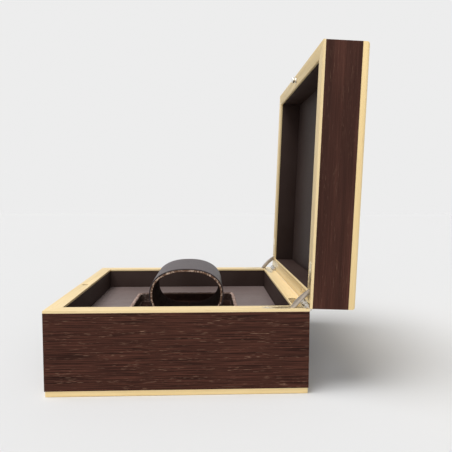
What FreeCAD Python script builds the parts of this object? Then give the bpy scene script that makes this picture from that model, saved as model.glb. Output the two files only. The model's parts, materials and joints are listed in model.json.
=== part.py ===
"""Watch box: a square veneered box with a lid on two quadrant hinges and a loose watch cuff.

The frame has its origin in the middle of the underside, +Z up, the hinge line along X at the back (+Y).
The lid stands open on its stops. Lengths are in millimetres and angles in degrees.
"""
import FreeCAD, Part
import os
import re

import Sketcher
from FreeCAD import Placement, Rotation, Vector

SIZES = {
    # Outside of the box
    "box_width": 190.0,
    "box_depth": 190.0,
    "base_height": 62.7,
    "lid_height": 33.3,
    "lid_open_angle": 92.0,
    "rim_gap": 0.2,
    # Boards of the base and the lid
    "wall_thickness": 9.2,
    "lining_thickness": 1.5,
    "rim_overhang": 0.3,
    "rim_thickness": 1.8,
    "bottom_thickness": 4.4,
    "bottom_inset": 0.5,
    "bottom_edge_round": 0.6,
    "top_thickness": 5.3,
    "top_edge_round": 2.4,
    # Covered panel inside the lid
    "lid_panel_thickness": 2.5,
    "lid_spacer_thickness": 5.4,
    "lid_spacer_inset": 8.0,
    "covered_edge_round": 0.8,
    # Tray and well in the base
    "insert_clearance": 0.3,
    "tray_thickness": 3.0,
    "riser_thickness": 5.0,
    "well_sink": 7.4,
    "well_wall": 1.6,
    "well_bottom_thickness": 1.5,
    "well_corner_radius": 4.0,
    "lip_width": 3.2,
    "lip_height": 1.2,
    "lip_round": 0.9,
    "support_inset": 3.0,
    # Watch cuff
    "cuff_breadth": 63.4,
    "cuff_height": 45.4,
    "cuff_length": 61.0,
    "cuff_offset": 3.5,
    "cuff_headroom": 1.3,
    "cuff_seat_gap": 0.3,
    "cuff_end_room": 15.0,
    "cuff_side_room": 13.8,
    "cuff_slit": 1.4,
    "cover_thickness": 0.8,
    "core_thickness": 0.8,
    "liner_thickness": 1.1,
    # Quadrant hinges
    "leg_width": 7.0,
    "leaf_thickness": 1.3,
    "leaf_clearance": 0.1,
    "side_leg_reach": 34.0,
    "back_leg_reach": 36.0,
    "barrel_radius": 2.4,
    "barrel_clearance": 0.7,
    "knuckle_length": 7.0,
    "knuckle_gap": 0.2,
    "knuckle_clearance": 0.5,
    "pin_radius": 1.2,
    "pin_clearance": 0.05,
    "strut_thickness": 1.2,
    "strut_bow_radius": 38.0,
    "strut_width": 3.6,
    "strut_crown": 10.4,
    "strut_clearance": 0.3,
    "strut_end_angle": 2.5,
    "stop_radius": 0.6,
    "stop_length": 4.0,
    "stop_clearance": 0.2,
    "slot_end_room": 1.2,
    "slot_to_screw": 4.2,
    "mortise_clearance": 0.5,
    # Hinge screws
    "screw_head_radius": 1.9,
    "screw_shank_radius": 1.0,
    "screw_length": 9.0,
    "screw_clearance": 0.05,
    "screw_setback": 4.0,
    "screw_pitch": 12.0,
    "drive_slot_width": 0.5,
    "drive_slot_depth": 0.4,
    # Magnetic catch
    "stud_radius": 2.4,
    "stud_neck_radius": 1.8,
    "stud_shank_radius": 1.4,
    "stud_collar_height": 1.3,
    "stud_neck_height": 0.9,
    "stud_head_height": 2.3,
    "stud_nose": 0.8,
    "stud_shank_length": 8.0,
    "stud_fit": 0.05,
    "stud_clearance": 0.35,
    "ferrule_wall": 0.85,
    "ferrule_depth": 4.2,
    "magnet_thickness": 2.5,
}

# Places and sizes that follow from the ones above, as formulas.
# The hinge frame has its origin on the hinge line, with the closed lid above it and the base below.
DERIVED = {
    "half_width": "box_width / 2",
    "half_depth": "box_depth / 2",
    "half_gap": "rim_gap / 2",
    "hinge_height": "base_height + half_gap",
    "rim_width": "wall_thickness + lining_thickness + rim_overhang",
    "wall_top": "base_height - rim_thickness",
    "inside_x": "half_width - wall_thickness",
    "inside_y": "half_depth - wall_thickness",
    "lined_x": "inside_x - lining_thickness",
    "lined_y": "inside_y - lining_thickness",
    # Lid, above the hinge line when it is closed
    "lid_wall_low": "half_gap + rim_thickness",
    "lid_wall_high": "half_gap + lid_height - top_thickness",
    "lid_panel_top": "lid_wall_high - lid_spacer_thickness",
    "lid_panel_face": "lid_panel_top - lid_panel_thickness",
    # Insert, from the lid panel down to the well
    "cuff_top": "hinge_height + lid_panel_face - cuff_headroom",
    "cuff_bottom": "cuff_top - cuff_height",
    "cuff_middle": "cuff_bottom + cuff_height / 2",
    "cuff_wall": "cover_thickness + core_thickness + liner_thickness",
    "well_floor": "cuff_bottom - cuff_seat_gap",
    "well_underside": "well_floor - well_bottom_thickness",
    "tray_top": "well_floor + well_sink",
    "tray_bottom": "tray_top - tray_thickness",
    "well_half_x": "cuff_length / 2 + cuff_end_room",
    "well_half_y": "cuff_breadth / 2 + cuff_side_room",
    # Hinge leaf of the right-hand side, in the hinge frame
    "leg_centre_x": "half_width - rim_width / 2",
    "leg_outer_x": "leg_centre_x + leg_width / 2",
    "leaf_back_y": "-(barrel_radius + knuckle_clearance)",
    "side_end_y": "-side_leg_reach + leg_width / 2",
    "back_end_x": "half_width - back_leg_reach + leg_width / 2",
    "back_leg_y": "leaf_back_y - leg_width / 2",
    "leaf_top": "-half_gap",
    "leaf_low": "leaf_top - leaf_thickness",
    "barrel_length": "3 * knuckle_length + 2 * knuckle_gap",
    "barrel_start_x": "leg_outer_x - barrel_length",
    "side_screw_y": "-side_leg_reach + screw_setback",
    "back_screw_x": "half_width - back_leg_reach + screw_setback",
    "slot_width": "strut_thickness + 2 * strut_clearance",
    "slot_start_y": "side_screw_y + slot_to_screw",
    "slot_end_y": "-(strut_crown - strut_width) + slot_end_room",
    # Strut: a bowed bar, even on both sides of the line halfway between the base and the open lid.
    # Its angles are counted from that line, about the middle of its bow.
    # Its two stop bars bear on the undersides of the leaves when the lid is open.
    "half_open": "lid_open_angle / 2 * 1 deg",
    "strut_bow_middle": "strut_bow_radius - strut_crown",
    "strut_inner_radius": "strut_bow_radius - strut_width",
    "strut_middle_radius": "strut_bow_radius - strut_width / 2",
    "stop_depth": "half_gap + leaf_thickness + stop_clearance + stop_radius",
    "stop_lean": "asin((stop_depth - strut_bow_middle * sin(half_open)) / strut_middle_radius)",
    "stop_angle": "half_open + stop_lean",
    "strut_end": "stop_angle + strut_end_angle * 1 deg",
    # With the lid closed, half of the strut is down in the base and half is up in the lid
    "mortise_end_y": "strut_bow_middle - strut_inner_radius * cos(strut_end) + mortise_clearance",
    "mortise_depth": "strut_bow_radius * sin(strut_end) + mortise_clearance",
    "mortise_half_width": "stop_length / 2 + mortise_clearance",
    # Catch, in the middle of the front rim
    "catch_y": "-half_depth + rim_width / 2",
    "stud_reach": "stud_collar_height + stud_neck_height + stud_head_height",
    "ferrule_bore": "stud_radius + stud_clearance",
    "ferrule_radius": "ferrule_bore + ferrule_wall",
    "magnet_top": "wall_top - ferrule_depth",
}

LID_FRAME = "placement(vector(0; half_depth; hinge_height); rotation(vector(1; 0; 0); -lid_open_angle))"
BASE_HINGE_FRAME = "placement(vector(0; half_depth; hinge_height); rotation(vector(1; 0; 0); 0))"
SIDES = {"front": 0, "right": 90, "back": 180, "left": 270}
SAME_HEIGHT = 1e-4

# How far the outer and the inner edge of a board stop short of the corner, in board thicknesses
END_CUTS = {"mitred": (0, 1), "through": (0, 0), "between": (1, 1)}
# The rims are mitred at the front, and the side rims run through behind the hinges
RIM_ENDS = {
    "front": ("mitred", "mitred"),
    "right": ("mitred", "through"),
    "back": ("between", "between"),
    "left": ("through", "mitred"),
}

doc = FreeCAD.newDocument("watch_box")
sheet = doc.addObject("Spreadsheet::Sheet", "Sizes")
for row, (size_name, size) in enumerate(SIZES.items(), start=1):
    sheet.set(f"A{row}", size_name)
    sheet.set(f"B{row}", str(size))
    sheet.setAlias(f"B{row}", size_name)
doc.recompute()

nodes = []


def formula(text):
    """Spell a formula out in cells of the sheet."""

    def spell(word):
        name = word.group()
        if name in DERIVED:
            return f"({formula(DERIVED[name])})"
        if name in SIZES:
            return f"Sizes.{name}"
        return name

    return re.sub(r"[a-z]\w*", spell, text)


def bind(item, **formulas):
    """Tie properties of an object to formulas."""
    for name, text in formulas.items():
        item.setExpression(name, formula(text))


def place(item, x="0", y="0", z="0"):
    """Tie an object's position to formulas and keep its turn."""
    for axis, text in zip("xyz", (x, y, z)):
        item.setExpression(f"Placement.Base.{axis}", formula(text))


def seat(item, frame):
    """Put an object that is modelled in the hinge frame onto the base or the open lid."""
    item.setExpression("Placement", formula(frame))
    return item


def node(item):
    """Keep an object as a sub-part of the finished box."""
    nodes.append(item)
    return item


def block(name, x, y, z, frame=None):
    """A block between two formulas along each axis, in the box's frame or on the open lid."""
    item = doc.addObject("Part::Box", name)
    lengths = [f"({high}) - ({low})" for low, high in (x, y, z)]
    bind(item, Length=lengths[0], Width=lengths[1], Height=lengths[2])
    if frame:
        corner = f"placement(vector({x[0]}; {y[0]}; {z[0]}); rotation(vector(1; 0; 0); 0))"
        return seat(item, f"{frame} * {corner}")
    place(item, x[0], y[0], z[0])
    return item


def rod(name, radius, x, y, z):
    """An upright cylinder between two heights."""
    item = doc.addObject("Part::Cylinder", name)
    bind(item, Radius=radius, Height=f"({z[1]}) - ({z[0]})")
    place(item, x, y, z[0])
    return item


def cross_rod(name, radius, x, y="0", z="0"):
    """A cylinder along X between two formulas."""
    item = doc.addObject("Part::Cylinder", name)
    bind(item, Radius=radius, Height=f"({x[1]}) - ({x[0]})")
    item.Placement = Placement(Vector(), Rotation(Vector(0, 1, 0), 90))
    place(item, x[0], y, z)
    return item


def fuse(name, items):
    item = doc.addObject("Part::MultiFuse", name)
    item.Shapes = items
    item.Refine = True
    return item


def cut(name, base, tool):
    item = doc.addObject("Part::Cut", name)
    item.Base = base
    item.Tool = tool
    return item


def group(name, items):
    item = doc.addObject("Part::Compound", name)
    item.Links = items
    return item


def mirrored(name, source, normal):
    item = doc.addObject("Part::Mirroring", name)
    item.Source = source
    item.Normal = normal
    return item


def side_board(name, side, thickness, low, high, ends=("mitred", "mitred"), centre_y="0"):
    """A board along one side of the box, seen from outside with its ends from left to right."""
    turn = SIDES[side]
    along, across = ("half_width", "half_depth") if turn % 180 == 0 else ("half_depth", "half_width")
    item = doc.addObject("Part::Wedge", name)
    outer = [f"{along} - {END_CUTS[end][0]} * {thickness}" for end in ends]
    inner = [f"{along} - {END_CUTS[end][1]} * {thickness}" for end in ends]
    bind(item, Xmin=f"-({outer[0]})", Xmax=outer[1])
    bind(item, X2min=f"-({inner[0]})", X2max=inner[1])
    bind(item, Ymin=f"-{across}", Ymax=f"-{across} + {thickness}")
    bind(item, Zmin=low, Zmax=high, Z2min=low, Z2max=high)
    item.Placement = Placement(Vector(), Rotation(Vector(0, 0, 1), turn))
    place(item, y=centre_y)
    return item


def new_sketch(body, name, plane, height="0"):
    """A sketch on one of the body's own planes, raised by a formula."""
    sketch = body.newObject("Sketcher::SketchObject", name)
    planes = [item for item in body.Origin.OriginFeatures if item.Role == plane]
    sketch.AttachmentSupport = [(planes[0], "")]
    sketch.MapMode = "FlatFace"
    sketch.setExpression("AttachmentOffset.Base.z", formula(height))
    return sketch


def outline(sketch, corners):
    """A closed outline of straight lines whose corners are pairs of formulas."""
    count = len(corners)
    for index in range(count):
        start = Rotation(Vector(0, 0, 1), 360 * index / count).multVec(Vector(1, 0, 0))
        end = Rotation(Vector(0, 0, 1), 360 * (index + 1) / count).multVec(Vector(1, 0, 0))
        sketch.addGeometry(Part.LineSegment(start, end))
    for index in range(count):
        sketch.addConstraint(Sketcher.Constraint("Coincident", index, 2, (index + 1) % count, 1))
    for index, corner in enumerate(corners):
        for kind, axis, text in zip(("DistanceX", "DistanceY"), (-2, -1), corner):
            if text == "0":
                sketch.addConstraint(Sketcher.Constraint("PointOnObject", index, 1, axis))
                continue
            number = sketch.addConstraint(Sketcher.Constraint(kind, -1, 1, index, 1, 1.0))
            sketch.renameConstraint(number, f"{kind}_{index}")
            sketch.setExpression(f"Constraints.{kind}_{index}", formula(text))


def rectangle(sketch, half_x, half_y, centre_y="0"):
    low, high = f"({centre_y}) - ({half_y})", f"({centre_y}) + ({half_y})"
    outline(sketch, [(f"-({half_x})", low), (half_x, low), (half_x, high), (f"-({half_x})", high)])


def pad(body, name, sketch, length):
    feature = body.newObject("PartDesign::Pad", name)
    feature.Profile = sketch
    bind(feature, Length=length)
    return feature


def pocket(body, name, sketch, depth):
    """A pocket below its sketch."""
    feature = body.newObject("PartDesign::Pocket", name)
    feature.Profile = sketch
    bind(feature, Length=depth)
    return feature


def round_edges(body, name, feature, radius, wanted):
    """Round the edges of the body's last feature that a test picks out."""
    doc.recompute()
    edges = [f"Edge{number}" for number, edge in enumerate(feature.Shape.Edges, start=1) if wanted(edge)]
    rounding = body.newObject("PartDesign::Fillet", name)
    rounding.Base = (feature, edges)
    bind(rounding, Radius=radius)
    return rounding


def stands_between(low, high):
    """A test for edges that run from one height to another."""
    return lambda edge: max(abs(edge.BoundBox.ZMin - low), abs(edge.BoundBox.ZMax - high)) < SAME_HEIGHT


def lies_at(height):
    """A test for edges that lie level at a height."""
    return stands_between(height, height)


def turned(label, profile):
    """A lathe-turned piece about its own Z axis; the profile is pairs of radius and height."""
    body = doc.addObject("PartDesign::Body", label)
    sketch = new_sketch(body, f"{label}_profile", "XZ_Plane")
    outline(sketch, profile)
    feature = body.newObject("PartDesign::Revolution", f"{label}_turning")
    feature.Profile = sketch
    feature.ReferenceAxis = (sketch, ["V_Axis"])
    feature.Angle = 360
    return body


def flat_panel(label, half_x, half_y, low, thickness, centre_y="0"):
    """A rectangular panel as a padded body, and its pad."""
    body = doc.addObject("PartDesign::Body", label)
    sketch = new_sketch(body, f"{label}_outline", "XY_Plane", low)
    rectangle(sketch, half_x, half_y, centre_y)
    return body, pad(body, f"{label}_board", sketch, thickness)


def hinge_screw(name, x, y):
    """A slotted countersunk screw, head up, in the hinge frame."""
    head_end = "-(screw_head_radius - screw_shank_radius)"
    tip_start = "-(screw_length - screw_shank_radius)"
    profile = [
        ("0", "0"),
        ("screw_head_radius", "0"),
        ("screw_shank_radius", head_end),
        ("screw_shank_radius", tip_start),
        ("0", "-screw_length"),
    ]
    body = turned(name, profile)
    sketch = new_sketch(body, f"{name}_slot_outline", "XY_Plane")
    rectangle(sketch, "drive_slot_width / 2", "2 * screw_head_radius")
    pocket(body, f"{name}_slot", sketch, "drive_slot_depth")
    place(body, x, y, "leaf_top")
    return body


def screw_hole(name, x, y):
    """The countersunk hole for a hinge screw in the leaf."""
    shank = "screw_shank_radius + screw_clearance"
    head = "screw_head_radius + screw_clearance"
    cone = doc.addObject("Part::Cone", f"{name}_countersink")
    bind(cone, Radius1=shank, Radius2=head, Height="screw_head_radius - screw_shank_radius")
    place(cone, x, y, "leaf_top - screw_head_radius + screw_shank_radius")
    return [cone, rod(f"{name}_hole", shank, x, y, ("leaf_low", "leaf_top"))]


def knuckle(name, index, low, high):
    """One of a hinge's three knuckles, counted from the side of the box, with the tongue that holds it."""
    end = f"leg_outer_x - {index} * (knuckle_length + knuckle_gap)"
    span = (f"{end} - knuckle_length", end)
    tongue = block(f"{name}_tongue_{index}", span, ("leaf_back_y", "0"), (low, high))
    return [tongue, cross_rod(f"{name}_knuckle_{index}", "barrel_radius", span)]


def boards_round(outer_x, outer_y, thickness):
    """Spans in X and Y of four boards round a rectangle: front and back run through, sides fit between."""
    inner_x = f"{outer_x} - {thickness}"
    inner_y = f"{outer_y} - {thickness}"
    whole_x = (f"-({outer_x})", outer_x)
    between_y = (f"-({inner_y})", inner_y)
    return {
        "front": (whole_x, (f"-({outer_y})", f"-({inner_y})")),
        "back": (whole_x, (inner_y, outer_y)),
        "left": ((f"-({outer_x})", f"-({inner_x})"), between_y),
        "right": ((inner_x, outer_x), between_y),
    }


# Hinge of the right-hand side, modelled in the hinge frame
screw_places = [
    ("leg_centre_x", "side_screw_y"),
    ("back_screw_x", "back_leg_y"),
    ("back_screw_x + screw_pitch", "back_leg_y"),
]


def leaf_blank(name, grow, top):
    """The L-shaped plate of a leaf with round ends, grown all round for its recess."""
    wide = f"leg_width / 2 + {grow}"
    height = ("leaf_low", top)
    side_span = (f"leg_centre_x - ({wide})", f"leg_centre_x + {wide}")
    back_span = (f"back_leg_y - ({wide})", f"back_leg_y + {wide}")
    return [
        block(f"{name}_side_leg", side_span, ("side_end_y", back_span[1]), height),
        block(f"{name}_back_leg", ("back_end_x", side_span[1]), back_span, height),
        rod(f"{name}_side_end", wide, "leg_centre_x", "side_end_y", height),
        rod(f"{name}_back_end", wide, "back_end_x", "back_leg_y", height),
    ]


strut_slot = block(
    "strut_slot",
    ("leg_centre_x - slot_width / 2", "leg_centre_x + slot_width / 2"),
    ("slot_start_y", "slot_end_y"),
    ("leaf_low", "leaf_top"),
)
leaf_holes = [strut_slot]
for number, (screw_x, screw_y) in enumerate(screw_places, start=1):
    leaf_holes += screw_hole(f"leaf_{number}", screw_x, screw_y)
leaf_plate = cut("leaf_plate", fuse("leaf_outline", leaf_blank("leaf", "0", "leaf_top")),
                 fuse("leaf_openings", leaf_holes))
leaf_plate_of_lid = mirrored("leaf_plate_of_lid", leaf_plate, (0, 0, 1))
pin_bore = cross_rod("pin_bore", "pin_radius + pin_clearance",
                     ("barrel_start_x - knuckle_gap", "leg_outer_x + knuckle_gap"))

base_knuckles = knuckle("base", 0, "leaf_low", "leaf_top") + knuckle("base", 2, "leaf_low", "leaf_top")
lid_knuckles = knuckle("lid", 1, "-leaf_top", "-leaf_low")
base_leaf = cut("hinge_base_leaf_right", fuse("base_leaf_solid", [leaf_plate] + base_knuckles), pin_bore)
lid_leaf = cut("hinge_lid_leaf_right", fuse("lid_leaf_solid", [leaf_plate_of_lid] + lid_knuckles), pin_bore)
hinge_pin = cross_rod("hinge_pin", "pin_radius", ("barrel_start_x", "leg_outer_x"))
pin_right = group("hinge_pin_right", [hinge_pin])
node(seat(base_leaf, BASE_HINGE_FRAME))
node(seat(lid_leaf, LID_FRAME))
node(seat(pin_right, BASE_HINGE_FRAME))

# The strut is drawn flat: X points from the hinge line to the front and Y points up
bow_x = "-strut_bow_middle * cos(half_open)"
bow_y = "-strut_bow_middle * sin(half_open)"
strut_sector = doc.addObject("Part::Cylinder", "strut_sector")
bind(strut_sector, Radius="strut_bow_radius", Height="strut_thickness", Angle="2 * strut_end")
strut_turn = "rotation(vector(0; 0; 1); half_open - strut_end)"
seat(strut_sector, f"placement(vector({bow_x}; {bow_y}; -strut_thickness / 2); {strut_turn})")
strut_inside = rod(
    "strut_inside", "strut_inner_radius", bow_x, bow_y, ("-strut_thickness", "strut_thickness"))
strut_parts = [cut("strut_bar", strut_sector, strut_inside)]
for end, angle in (("base", "half_open - stop_angle"), ("lid", "half_open + stop_angle")):
    strut_parts.append(rod(
        f"strut_stop_{end}",
        "stop_radius",
        f"{bow_x} + strut_middle_radius * cos({angle})",
        f"{bow_y} + strut_middle_radius * sin({angle})",
        ("-stop_length / 2", "stop_length / 2"),
    ))
strut = fuse("quadrant_strut_right", strut_parts)
strut.Placement = Placement(Vector(), Rotation(Vector(0, -1, 0), Vector(0, 0, 1), Vector(-1, 0, 0), "XYZ"))
place(strut, "leg_centre_x", "half_depth", "hinge_height")
node(strut)

for right in (base_leaf, lid_leaf, pin_right, strut):
    node(mirrored(right.Label.replace("right", "left"), right, (1, 0, 0)))

# Screws of both sides, and the recesses that the hinges need in the rims and walls
screws_right = group("screws_right", [
    hinge_screw(f"screw_{number}", x, y) for number, (x, y) in enumerate(screw_places, start=1)
])
screws = group("screws", [screws_right, mirrored("screws_left", screws_right, (1, 0, 0))])
node(seat(group("base_hinge_screws", [screws]), BASE_HINGE_FRAME))
node(seat(mirrored("lid_hinge_screws", screws, (0, 0, 1)), LID_FRAME))

barrel_span = ("barrel_start_x - barrel_clearance", "leg_outer_x + barrel_clearance")
recess = leaf_blank("recess", "leaf_clearance", "half_gap")
recess.append(cross_rod("barrel_recess", "barrel_radius + barrel_clearance", barrel_span))
recess.append(block("tongue_recess", barrel_span, ("leaf_back_y", "barrel_radius"), ("leaf_low", "half_gap")))
recess.append(block(
    "strut_mortise",
    ("leg_centre_x - mortise_half_width", "leg_centre_x + mortise_half_width"),
    ("slot_start_y - mortise_clearance", "mortise_end_y"),
    ("-mortise_depth", "half_gap"),
))
for number, (screw_x, screw_y) in enumerate(screw_places, start=1):
    pilot = ("leaf_top - screw_length - mortise_clearance", "half_gap")
    recess.append(rod(f"pilot_{number}", "screw_shank_radius + screw_clearance", screw_x, screw_y, pilot))
recess_right = fuse("recess_right", recess)
recesses = fuse("recesses", [recess_right, mirrored("recess_left", recess_right, (1, 0, 0))])
base_recesses = seat(group("base_recesses", [recesses]), BASE_HINGE_FRAME)
lid_recesses = mirrored("lid_recesses", recesses, (0, 0, 1))

# Catch: a turned stud in the lid's front rim, and a ferrule and a magnet under the base's bored front rim
stud_hole = rod("stud_hole", "stud_shank_radius + stud_fit", "0", "-half_depth + catch_y",
                ("0", "half_gap + stud_shank_length + stud_fit"))
stud_entry = rod("stud_entry", "ferrule_bore", "0", "catch_y",
                 ("wall_top - rim_gap", "base_height + rim_gap"))
ferrule_seat = rod("ferrule_seat", "ferrule_radius + stud_fit", "0", "catch_y",
                   ("magnet_top - magnet_thickness", "wall_top + rim_gap"))
stud_profile = [
    ("0", "stud_shank_length"),
    ("stud_shank_radius", "stud_shank_length"),
    ("stud_shank_radius", "0"),
    ("stud_radius", "0"),
    ("stud_radius", "-stud_collar_height"),
    ("stud_neck_radius", "-stud_collar_height"),
    ("stud_neck_radius", "-(stud_collar_height + stud_neck_height)"),
    ("stud_radius", "-(stud_collar_height + stud_neck_height)"),
    ("stud_radius", "-(stud_reach - stud_nose)"),
    ("stud_radius - stud_nose", "-stud_reach"),
    ("0", "-stud_reach"),
]
stud = node(turned("catch_stud", stud_profile))
stud_place = "placement(vector(0; catch_y - half_depth; half_gap); rotation(vector(1; 0; 0); 0))"
seat(stud, f"{LID_FRAME} * {stud_place}")
ferrule_profile = [
    ("ferrule_bore", "0"),
    ("ferrule_radius", "0"),
    ("ferrule_radius", "-ferrule_depth"),
    ("ferrule_bore", "-ferrule_depth"),
]
place(node(turned("catch_ferrule", ferrule_profile)), y="catch_y", z="wall_top")
node(rod("catch_magnet", "ferrule_radius", "0", "catch_y", ("magnet_top - magnet_thickness", "magnet_top")))

# Walls, mitred at the corners, and rims, recessed for the hinges and the catch
for side in SIDES:
    ends = RIM_ENDS[side]
    wall = side_board(f"base_{side}_board", side, "wall_thickness", "bottom_thickness", "wall_top")
    rim = side_board(f"base_{side}_edging", side, "rim_width", "wall_top", "base_height", ends)
    node(cut(f"base_wall_{side}", wall, ferrule_seat if side == "front" else base_recesses))
    node(cut(f"base_rim_{side}", rim, stud_entry if side == "front" else base_recesses))
    wall = side_board(f"lid_{side}_board", side, "wall_thickness", "lid_wall_low", "lid_wall_high",
                      centre_y="-half_depth")
    rim = side_board(f"lid_{side}_edging", side, "rim_width", "half_gap", "lid_wall_low", ends,
                     centre_y="-half_depth")
    tool = stud_hole if side == "front" else lid_recesses
    node(seat(cut(f"lid_wall_{side}", wall, tool), LID_FRAME))
    node(seat(cut(f"lid_rim_{side}", rim, tool), LID_FRAME))

# Bottom plate, set back a little from the walls, and top plate with rounded edges
bottom_plate, bottom_board = flat_panel(
    "bottom_plate", "half_width - bottom_inset", "half_depth - bottom_inset", "0", "bottom_thickness")
round_edges(bottom_plate, "bottom_rounding", bottom_board, "bottom_edge_round", lies_at(0))
node(bottom_plate)
top_plate, top_board = flat_panel(
    "lid_top_plate", "half_width", "half_depth", "lid_wall_high", "top_thickness", "-half_depth")
doc.recompute()
outer_face = top_board.Shape.BoundBox.ZMax
round_edges(top_plate, "top_rounding", top_board, "top_edge_round", lies_at(outer_face))
node(seat(top_plate, LID_FRAME))

# Linings on the inner faces of the walls of the base and the lid
lining_spans = boards_round("inside_x", "inside_y", "lining_thickness")
for side, (span_x, span_y) in lining_spans.items():
    node(block(f"base_lining_{side}", span_x, span_y, ("bottom_thickness", "wall_top")))
    lid_span_y = [f"{edge} - half_depth" for edge in span_y]
    node(block(f"lid_lining_{side}", span_x, lid_span_y, ("lid_wall_low", "lid_wall_high"), LID_FRAME))

# Covered panel of the lid, glued to the top plate through a spacer
lid_panel, lid_panel_board = flat_panel(
    "lid_panel", "lined_x - insert_clearance", "lined_y - insert_clearance",
    "lid_panel_face", "lid_panel_thickness", "-half_depth")
doc.recompute()
covered_face = lid_panel_board.Shape.BoundBox.ZMin
round_edges(lid_panel, "lid_panel_rounding", lid_panel_board, "covered_edge_round", lies_at(covered_face))
node(seat(lid_panel, LID_FRAME))
spacer_x = "lined_x - lid_spacer_inset"
spacer_y = "lined_y - lid_spacer_inset"
node(block(
    "lid_panel_spacer",
    (f"-({spacer_x})", spacer_x),
    (f"-half_depth - ({spacer_y})", f"-half_depth + {spacer_y}"),
    ("lid_panel_top", "lid_wall_high"),
    LID_FRAME,
))

# Tray on its risers, with the square opening that the well hangs in, rounded at its corners like the well
tray, tray_board = flat_panel(
    "tray_panel", "lined_x - insert_clearance", "lined_y - insert_clearance", "tray_bottom", "tray_thickness")
doc.recompute()
tray_face = tray_board.Shape.BoundBox.ZMax
tray_underside = tray_board.Shape.BoundBox.ZMin
round_edges(tray, "tray_rounding", tray_board, "covered_edge_round", lies_at(tray_face))
tray_opening = new_sketch(tray, "tray_opening", "XY_Plane", "tray_top")
opening_x = "well_half_x + well_wall + insert_clearance"
opening_y = "well_half_y + well_wall + insert_clearance"
rectangle(tray_opening, opening_x, opening_y)
tray_cutout = pocket(tray, "tray_cutout", tray_opening, "tray_thickness")
round_edges(
    tray, "opening_corners", tray_cutout, "well_corner_radius + well_wall + insert_clearance",
    stands_between(tray_underside, tray_face))
node(tray)
riser_spans = boards_round("lined_x - insert_clearance", "lined_y - insert_clearance", "riser_thickness")
for side, (span_x, span_y) in riser_spans.items():
    node(block(f"tray_riser_{side}", span_x, span_y, ("bottom_thickness", "tray_bottom")))

# Well: a tub with a rolled lip on the tray, on a support block
well = doc.addObject("PartDesign::Body", "well_tub")
tub_outline = new_sketch(well, "tub_outline", "XY_Plane", "well_underside")
rectangle(tub_outline, "well_half_x + well_wall", "well_half_y + well_wall")
tub = pad(well, "tub", tub_outline, "tray_top - well_underside")
lip_outline = new_sketch(well, "lip_outline", "XY_Plane", "tray_top")
rectangle(lip_outline, "well_half_x + lip_width", "well_half_y + lip_width")
lip = pad(well, "lip", lip_outline, "lip_height")
hollow_outline = new_sketch(well, "hollow_outline", "XY_Plane", "tray_top + lip_height")
rectangle(hollow_outline, "well_half_x", "well_half_y")
hollow = pocket(well, "hollow", hollow_outline, "tray_top + lip_height - well_floor")
doc.recompute()
tub_low = hollow.Shape.BoundBox.ZMin
lip_top = hollow.Shape.BoundBox.ZMax
hollow_low = lip_top - hollow.Length.Value
corners = round_edges(
    well, "hollow_corners", hollow, "well_corner_radius", stands_between(hollow_low, lip_top))
corners = round_edges(
    well, "tub_corners", corners, "well_corner_radius + well_wall", stands_between(tub_low, tray_face))
corners = round_edges(
    well, "lip_corners", corners, "well_corner_radius + lip_width", stands_between(tray_face, lip_top))
round_edges(well, "lip_rounding", corners, "lip_round", lies_at(lip_top))
node(well)
support_x = "well_half_x - support_inset"
support_y = "well_half_y - support_inset"
node(block(
    "well_support_block",
    (f"-({support_x})", support_x),
    (f"-({support_y})", support_y),
    ("bottom_thickness", "well_underside"),
))


def cuff_oval(name, inset, reach):
    """A solid oval along X, smaller than the cuff by an inset all round."""
    oval = doc.addObject("Part::Ellipse", f"{name}_outline")
    bind(oval, MajorRadius=f"cuff_breadth / 2 - ({inset})", MinorRadius=f"cuff_height / 2 - ({inset})")
    oval.Placement = Placement(Vector(), Rotation(Vector(0, 1, 0), Vector(0, 0, 1), Vector(1, 0, 0), "XYZ"))
    place(oval, y="cuff_offset", z="cuff_middle")
    solid = doc.addObject("Part::Extrusion", name)
    solid.Base = oval
    solid.DirMode = "Custom"
    solid.Dir = Vector(1, 0, 0)
    solid.Solid = True
    solid.Symmetric = True
    bind(solid, LengthFwd=reach)
    return solid


# Cuff: a springy core between an outer cover and a soft liner, slit along the underside
slit = block(
    "cuff_slit_gap",
    ("-cuff_length", "cuff_length"),
    ("cuff_offset - cuff_slit / 2", "cuff_offset + cuff_slit / 2"),
    ("cuff_bottom - cuff_wall", "cuff_middle"),
)
layer_inset = "0"
for layer in ("cover", "core", "liner"):
    inner_inset = f"{layer_inset} + {layer}_thickness"
    outside = cuff_oval(f"{layer}_outside", layer_inset, "cuff_length")
    inside = cuff_oval(f"{layer}_inside", inner_inset, "2 * cuff_length")
    node(cut(f"cuff_{layer}", cut(f"{layer}_loop", outside, inside), slit))
    layer_inset = inner_inset

doc.recompute()

# Every object has to be sound before anything is written
failed = [item.Label for item in doc.Objects if {"Invalid", "Error"} & set(item.State)]
if failed:
    raise RuntimeError(f"objects that failed: {failed}")
for item in nodes:
    shape = item.Shape
    if shape.isNull() or not shape.isValid() or not shape.Solids or shape.Volume <= 0:
        raise RuntimeError(f"unsound shape: {item.Label}")

os.makedirs("parts", exist_ok=True)
for item in nodes:
    item.Shape.exportStep(f"parts/{item.Label}.step")
    print(f"{item.Label}: {len(item.Shape.Solids)} solids, {item.Shape.Volume:.1f} cubic millimetres")
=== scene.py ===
"""Watch box: the finish of every piece, on a pale floor in soft studio light.

Lengths are in metres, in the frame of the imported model: +Z up, the catch at the front (-Y)
and the hinges at the back.
"""
import json
import math

import bmesh
import bpy
from mathutils import Matrix, Vector, noise


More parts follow.
